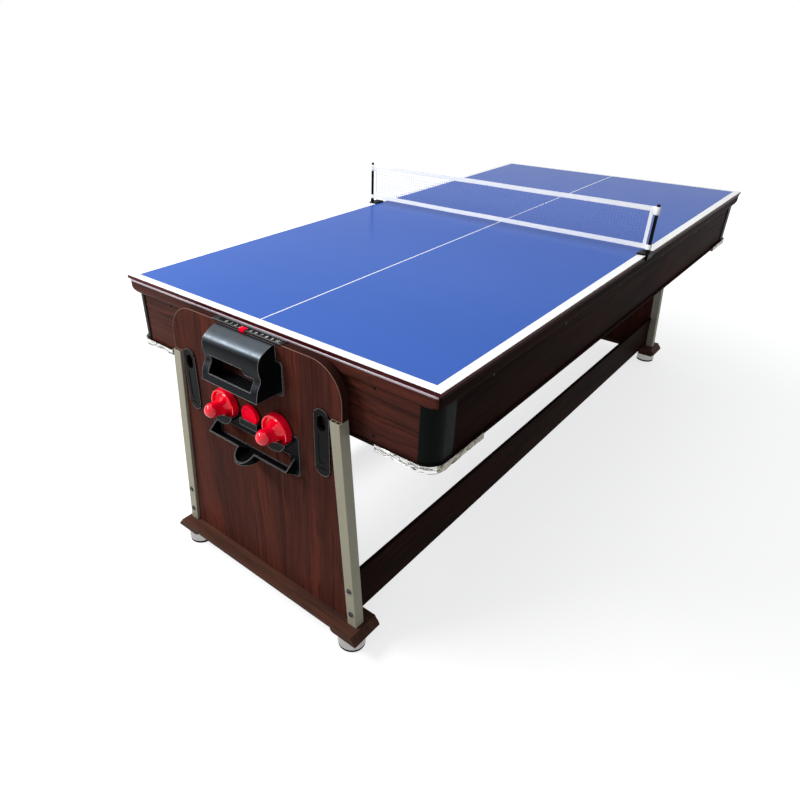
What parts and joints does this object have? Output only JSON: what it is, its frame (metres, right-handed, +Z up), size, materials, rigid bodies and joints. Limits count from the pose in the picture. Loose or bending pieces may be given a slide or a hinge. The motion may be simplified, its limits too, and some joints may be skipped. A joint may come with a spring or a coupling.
{
  "type": "multi game table",
  "caption": "Rotating game table: a box with net-topped playing boards turns end over end between two end legs with ball returns, score rails and a mallet rack.",
  "frame": {"origin": "on the floor under the middle of the table", "axes": "+X along the table to the end without the rack, +Y across it to the left, +Z up"},
  "size_m": [2.3219, 1.0394, 0.957],
  "materials": {
    "blue_top": "semi-gloss painted board with a printed white border and centre line",
    "dark_wood": "dark red-brown laminate with straight grain, satin",
    "white_bed": "smooth white laminate",
    "blue_cloth": "woven cloth on board",
    "black_plastic": "moulded, satin",
    "red_plastic": "moulded, glossy",
    "silver_plastic": "silver plated",
    "bright_trim": "bright, under a crinkled protective film",
    "aluminium": "anodised champagne extrusion",
    "steel": "turned",
    "rubber": "matte",
    "net": "knotted white cord with sewn tape"
  },
  "bodies": {
    "leg_frame": {"end_panel_front": "dark_wood", "foot_rail_front": "dark_wood", "return_box_front": "black_plastic", "score_rail_front": "black_plastic", "leg_post_front_left": "aluminium", "lock_plate_front_left": "black_plastic", "leg_post_front_right": "aluminium", "lock_plate_front_right": "black_plastic", "end_panel_rear": "dark_wood", "foot_rail_rear": "dark_wood", "return_box_rear": "black_plastic", "score_rail_rear": "black_plastic", "leg_post_rear_left": "aluminium", "lock_plate_rear_left": "black_plastic", "leg_post_rear_right": "aluminium", "lock_plate_rear_right": "black_plastic", "stretcher_left": "dark_wood", "stretcher_right": "dark_wood", "accessory_rack": "black_plastic"},
    "playing_box": {"rim_left": "dark_wood", "rim_right": "dark_wood", "rim_front": "dark_wood", "rim_rear": "dark_wood", "apron_left": "dark_wood", "apron_right": "dark_wood", "apron_front": "dark_wood", "apron_rear": "dark_wood", "bottom_frame": "dark_wood", "hockey_bed": "white_bed", "pool_bed": "blue_cloth", "top_board_front": "blue_top", "top_board_rear": "blue_top", "net_post_left": "black_plastic", "net_post_right": "black_plastic", "pivot_hub_front": "steel", "corner_cap_front_left": "black_plastic", "corner_trim_front_left": "bright_trim", "corner_cap_front_right": "black_plastic", "corner_trim_front_right": "bright_trim", "pivot_hub_rear": "steel", "corner_cap_rear_left": "black_plastic", "corner_trim_rear_left": "bright_trim", "corner_cap_rear_right": "black_plastic", "corner_trim_rear_right": "bright_trim"},
    "net": {"net": "net"},
    "score_slider_front": {"score_slider_front": "red_plastic"},
    "score_slider_rear": {"score_slider_rear": "red_plastic"},
    "mallet_left": {"mallet_left": "red_plastic"},
    "mallet_right": {"mallet_right": "red_plastic"},
    "puck": {"puck": "red_plastic"},
    "leveller_front_left": {"leveller_front_left": "silver_plastic", "leveller_pad_front_left": "rubber"},
    "leveller_front_right": {"leveller_front_right": "silver_plastic", "leveller_pad_front_right": "rubber"},
    "leveller_rear_left": {"leveller_rear_left": "silver_plastic", "leveller_pad_rear_left": "rubber"},
    "leveller_rear_right": {"leveller_rear_right": "silver_plastic", "leveller_pad_rear_right": "rubber"}
  },
  "joints": [
    {"name": "table_flip", "type": "hinge", "parent": "leg_frame", "child": "playing_box", "pos_m": [0, 0, 0.7125], "axis": [1, 0, 0], "range_deg": [0, 180]},
    {"name": "net_lift", "type": "slide", "parent": "playing_box", "child": "net", "axis": [0, 0, 1], "range_m": [0, 0.15]},
    {"name": "score_front_slide", "type": "slide", "parent": "leg_frame", "child": "score_slider_front", "axis": [0, 1, 0], "range_m": [-0.1155, 0.0995]},
    {"name": "score_rear_slide", "type": "slide", "parent": "leg_frame", "child": "score_slider_rear", "axis": [0, 1, 0], "range_m": [-0.0995, 0.1155]},
    {"name": "mallet_left_lift", "type": "slide", "parent": "leg_frame", "child": "mallet_left", "axis": [0, 0, 1], "range_m": [0, 0.045]},
    {"name": "mallet_right_lift", "type": "slide", "parent": "leg_frame", "child": "mallet_right", "axis": [0, 0, 1], "range_m": [0, 0.045]},
    {"name": "puck_lift", "type": "slide", "parent": "leg_frame", "child": "puck", "axis": [0, 0, 1], "range_m": [0, 0.04]},
    {"name": "leveller_front_left_extend", "type": "slide", "parent": "leg_frame", "child": "leveller_front_left", "axis": [0, 0, -1], "range_m": [0, 0.012]},
    {"name": "leveller_front_right_extend", "type": "slide", "parent": "leg_frame", "child": "leveller_front_right", "axis": [0, 0, -1], "range_m": [0, 0.012]},
    {"name": "leveller_rear_left_extend", "type": "slide", "parent": "leg_frame", "child": "leveller_rear_left", "axis": [0, 0, -1], "range_m": [0, 0.012]},
    {"name": "leveller_rear_right_extend", "type": "slide", "parent": "leg_frame", "child": "leveller_rear_right", "axis": [0, 0, -1], "range_m": [0, 0.012]}
  ]
}
